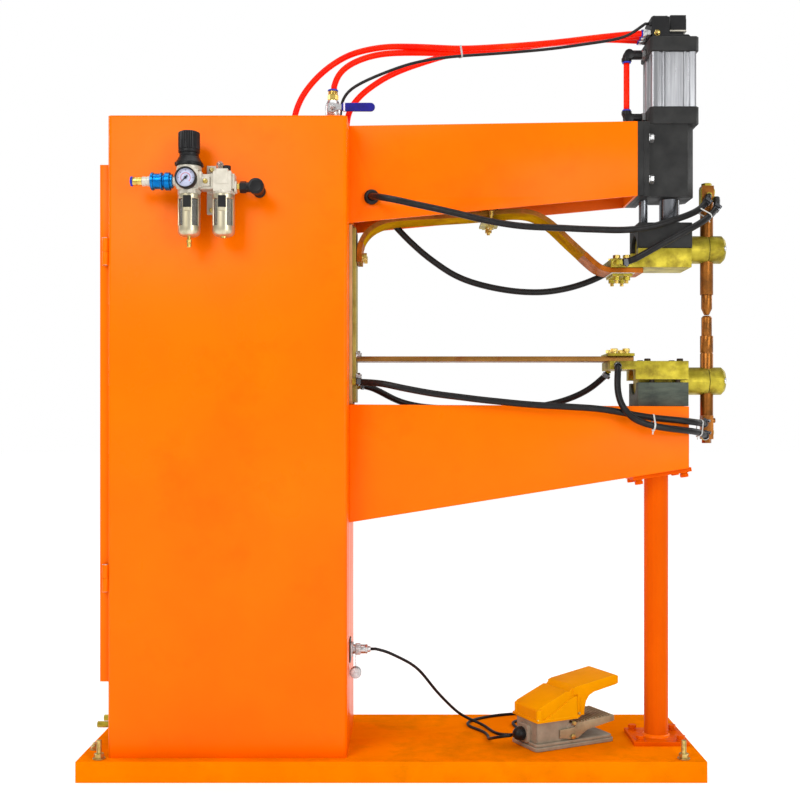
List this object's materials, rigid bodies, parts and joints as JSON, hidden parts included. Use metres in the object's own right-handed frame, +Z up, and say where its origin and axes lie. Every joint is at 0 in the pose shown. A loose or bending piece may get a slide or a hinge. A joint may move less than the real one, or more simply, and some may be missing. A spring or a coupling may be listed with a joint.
{
  "type": "spot welder",
  "caption": "Pneumatic spot welder: a tall cabinet with two long arms, a ram with copper electrodes, an air service unit, hoses and a foot pedal on a floor base.",
  "frame": {"origin": "centre of the base's underside, on the floor", "axes": "+Z up, +X from the cabinet to the electrodes, +Y away from the cabinet's front"},
  "size_m": [1.274, 0.412, 1.508],
  "materials": {
    "orange_paint": "gloss",
    "black_paint": "textured satin",
    "zinc_yellow": "yellow-passivated zinc",
    "steel": "satin",
    "chrome_rod": "ground and polished",
    "profile_aluminium": "anodised satin",
    "brass": "machined, tarnished",
    "copper": "machined copper, oxidised",
    "core_steel": "laminated, varnished",
    "insulator": "sawn laminate",
    "throat_sheet": "yellow-passivated",
    "black_plastic": "moulded",
    "gauge_case": "gloss",
    "needle_paint": "satin",
    "bowl_guard": "champagne satin",
    "blue_anodised": "anodised",
    "lever_blue": "dipped vinyl",
    "red_hose": "polyurethane, gloss",
    "black_rubber": "satin",
    "box_grey": "satin",
    "pedal_grey": "hammered satin",
    "pedal_yellow": "gloss",
    "treadle_metal": "cast, worn paint"
  },
  "bodies": {
    "frame": {"base_plate": "orange_paint", "base_rails": "orange_paint", "anchor_bolts": "zinc_yellow", "cabinet_front": "orange_paint", "cabinet_rear": "orange_paint", "cabinet_side": "orange_paint", "door_frame": "orange_paint", "cabinet_roof": "orange_paint", "upper_arm": "orange_paint", "lower_arm": "orange_paint", "support_column": "orange_paint", "frame_bolts": "steel", "head_plate": "black_paint", "head_casting": "black_paint", "cylinder_caps": "black_paint", "cylinder_tube": "profile_aluminium", "solenoid_valve": "black_plastic", "air_fittings": "black_plastic", "air_hoses": "red_hose", "air_valve_body": "brass", "throat_plate": "throat_sheet", "transformer_core": "core_steel", "transformer_coils": "copper", "secondary_busbars": "copper", "thyristor_unit": "profile_aluminium", "control_box": "box_grey", "water_manifold": "brass", "lower_conductor": "copper", "lower_insulator": "insulator", "lower_block": "brass", "lower_bar": "brass", "lower_holder": "copper", "lower_tip": "copper", "conductor_clamps": "brass", "lower_hoses": "black_rubber", "rubber_glands": "black_rubber", "laminated_strap": "copper", "upper_hoses": "black_rubber", "frl_body": "profile_aluminium", "pressure_gauge": "gauge_case", "filter_bowls": "bowl_guard", "frl_fittings": "steel", "pedal_socket": "steel", "pedal_base": "pedal_grey", "pedal_guard": "pedal_yellow", "pedal_cord": "black_rubber"},
    "door": {"door": "orange_paint"},
    "door_lock": {"door_lock": "black_plastic"},
    "valve_lever": {"valve_lever": "lever_blue"},
    "regulator_knob": {"regulator_knob": "black_plastic"},
    "gauge_needle": {"gauge_needle": "needle_paint"},
    "coupler_sleeve": {"coupler_sleeve": "blue_anodised"},
    "treadle": {"pedal_treadle": "treadle_metal"},
    "head": {"ram_rods": "chrome_rod", "head_block": "black_paint", "upper_block": "brass", "upper_bar": "brass", "upper_holder": "copper", "upper_tip": "copper", "head_hose": "black_rubber"}
  },
  "joints": [
    {"name": "head_slide", "type": "slide", "parent": "frame", "child": "head", "axis": [0, 0, 1], "range_m": [0, 0.045], "deforming": ["laminated_strap", "upper_hoses"]},
    {"name": "door_hinge", "type": "hinge", "parent": "frame", "child": "door", "pos_m": [-0.551, -0.145, 0.683], "axis": [0, 0, 1], "range_deg": [0, 110]},
    {"name": "door_lock_turn", "type": "hinge", "parent": "door", "child": "door_lock", "pos_m": [-0.563, 0.066, 0.683], "axis": [-1, 0, 0], "range_deg": [0, 90]},
    {"name": "valve_lever_turn", "type": "hinge", "parent": "frame", "child": "valve_lever", "pos_m": [-0.118, -0.084, 1.308], "axis": [0, -1, 0], "range_deg": [0, 90]},
    {"name": "regulator_turn", "type": "hinge", "parent": "frame", "child": "regulator_knob", "pos_m": [-0.38, -0.195, 1.2], "axis": [0, 0, 1], "continuous": true},
    {"name": "gauge_needle_turn", "type": "hinge", "parent": "frame", "child": "gauge_needle", "pos_m": [-0.38, -0.232, 1.138], "axis": [0, 1, 0], "range_deg": [0, 270], "stiffness_Nm_per_rad": 0.0002, "springref_deg": -11.46},
    {"name": "coupler_sleeve_slide", "type": "slide", "parent": "frame", "child": "coupler_sleeve", "axis": [1, 0, 0], "range_m": [0, 0.0035], "stiffness_N_per_m": 800, "springref_m": -0.002},
    {"name": "pedal_press", "type": "hinge", "parent": "frame", "child": "treadle", "pos_m": [0.34002, -0.03622, 0.061], "axis": [-0.4446, 0.8957, 0], "range_deg": [0, 8], "stiffness_Nm_per_rad": 15, "springref_deg": -4.58}
  ]
}
